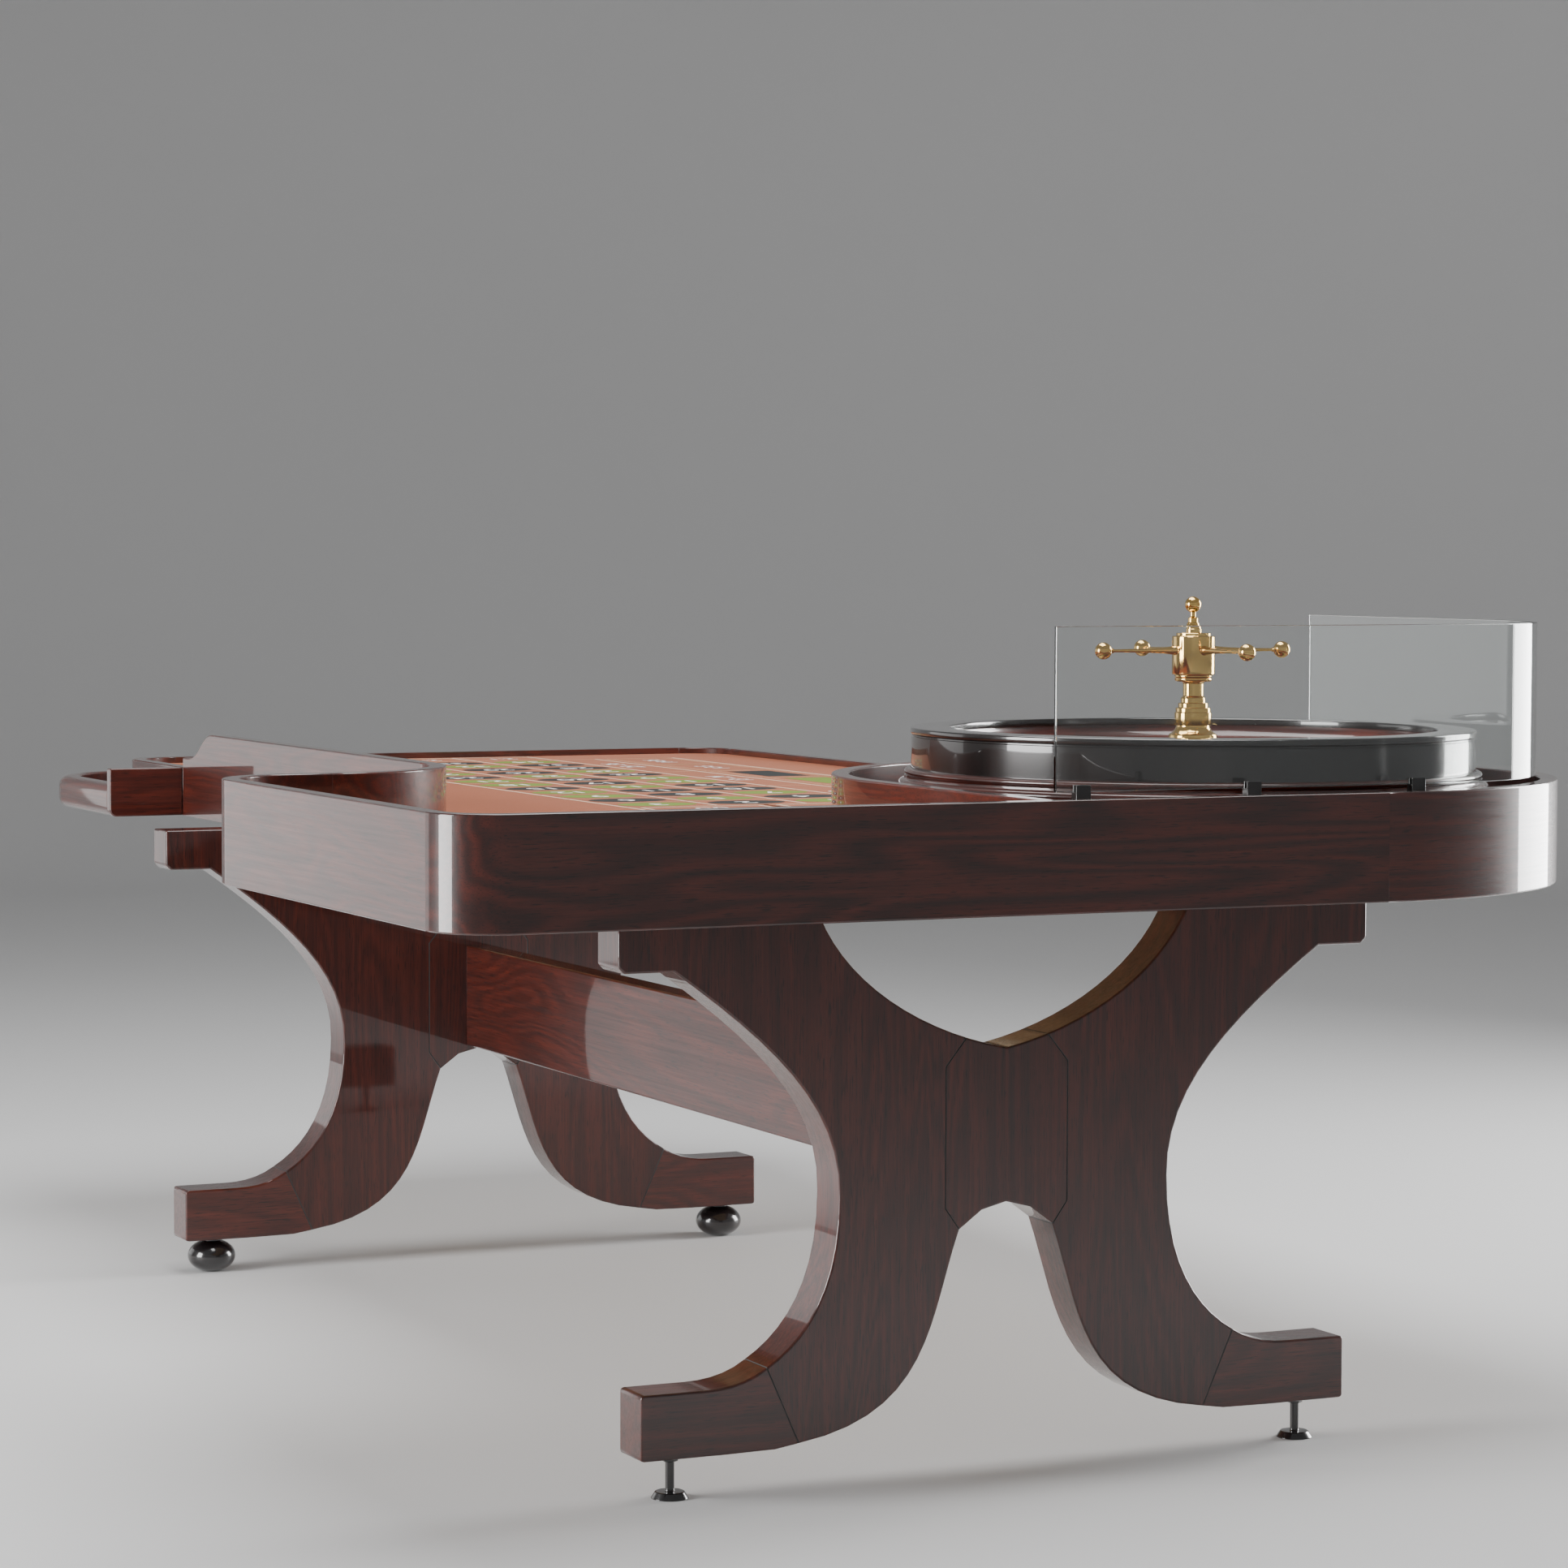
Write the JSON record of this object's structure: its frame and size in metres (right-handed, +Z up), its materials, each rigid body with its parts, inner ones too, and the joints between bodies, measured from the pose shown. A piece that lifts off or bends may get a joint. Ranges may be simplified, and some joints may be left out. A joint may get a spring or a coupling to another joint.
{
  "type": "roulette table",
  "caption": "Roulette table with a wheel in a round well, a cloth-covered field, a croupier's recess, a players' ledge and two trestles.",
  "frame": {"origin": "on the floor, midway between the two trestles", "axes": "+X along the table towards the wheel, +Y towards the players' side, away from the croupier's recess, +Z up"},
  "size_m": [2.951, 1.8519, 1.1442],
  "materials": {
    "dark_mahogany": "dark red-brown mahogany under clear gloss lacquer",
    "red_mahogany": "redder mahogany under clear gloss lacquer",
    "plain_beech": "plain beech, sanded",
    "plywood": "birch plywood",
    "cloth": "terracotta gaming cloth with a printed betting layout",
    "black_lacquer": "black piano lacquer",
    "polished_brass": "polished brass",
    "plated_steel": "zinc-plated or nickel-plated steel",
    "clear_glass": "clear toughened glass",
    "black_gloss": "gloss black"
  },
  "bodies": {
    "table": {"near_left_leg": "dark_mahogany", "near_right_leg": "dark_mahogany", "near_centre_block": "dark_mahogany", "near_left_foot": "red_mahogany", "near_right_foot": "red_mahogany", "far_left_leg": "dark_mahogany", "far_right_leg": "dark_mahogany", "far_centre_block": "dark_mahogany", "far_left_foot": "red_mahogany", "far_right_foot": "red_mahogany", "trestle_dowels": "plain_beech", "stretcher": "red_mahogany", "cross_bearers": "plain_beech", "side_bearers": "plain_beech", "trestle_bolts": "plated_steel", "bolt_washers": "plated_steel", "wheel_end_apron": "dark_mahogany", "left_apron": "red_mahogany", "recess_corner": "red_mahogany", "backboard": "red_mahogany", "left_low_apron": "dark_mahogany", "far_left_corner": "dark_mahogany", "far_apron": "dark_mahogany", "far_right_corner": "dark_mahogany", "right_apron": "dark_mahogany", "well_outer_wall": "dark_mahogany", "well_inner_wall": "red_mahogany", "near_deck": "plywood", "far_deck": "plywood", "playing_cloth": "cloth", "ledge_floor": "dark_mahogany", "ledge_rail_left": "dark_mahogany", "ledge_rail_far": "dark_mahogany", "ledge_rail_right": "dark_mahogany", "ledge_end_panels": "dark_mahogany", "ledge_plates": "plated_steel", "ledge_screws": "plated_steel", "glass_screen": "clear_glass", "screen_clamps": "plated_steel", "bowl_base": "dark_mahogany", "bowl_shell": "black_lacquer", "base_moulding": "dark_mahogany", "rim_cap": "black_lacquer", "ball_track": "red_mahogany", "ball_stops": "polished_brass", "spindle": "plated_steel", "stem_bushes": "plated_steel"},
    "rotor": {"rotor_bearings": "plated_steel", "rotor_dish": "red_mahogany", "number_ring": "black_lacquer", "pocket_ring": "plated_steel", "rotor_cone": "red_mahogany", "turret_foot": "polished_brass", "turret_drum": "polished_brass", "turret_arms": "polished_brass", "turret_finial": "polished_brass"},
    "far_left_glide": {"far_left_ball_foot": "black_gloss"},
    "far_right_glide": {"far_right_ball_foot": "black_gloss"},
    "near_left_glide": {"near_left_pad": "black_gloss"},
    "near_right_glide": {"near_right_pad": "black_gloss"}
  },
  "joints": [
    {"name": "wheel_spin", "type": "hinge", "parent": "table", "child": "rotor", "pos_m": [0.5855, 0.516, 0.873], "axis": [0, 0, 1], "continuous": true},
    {"name": "far_left_level", "type": "slide", "parent": "table", "child": "far_left_glide", "axis": [0, 0, 1], "range_m": [-0.01, 0]},
    {"name": "near_left_level", "type": "slide", "parent": "table", "child": "near_left_glide", "axis": [0, 0, 1], "range_m": [-0.01, 0]},
    {"name": "far_right_level", "type": "slide", "parent": "table", "child": "far_right_glide", "axis": [0, 0, 1], "range_m": [-0.01, 0]},
    {"name": "near_right_level", "type": "slide", "parent": "table", "child": "near_right_glide", "axis": [0, 0, 1], "range_m": [-0.01, 0]}
  ]
}
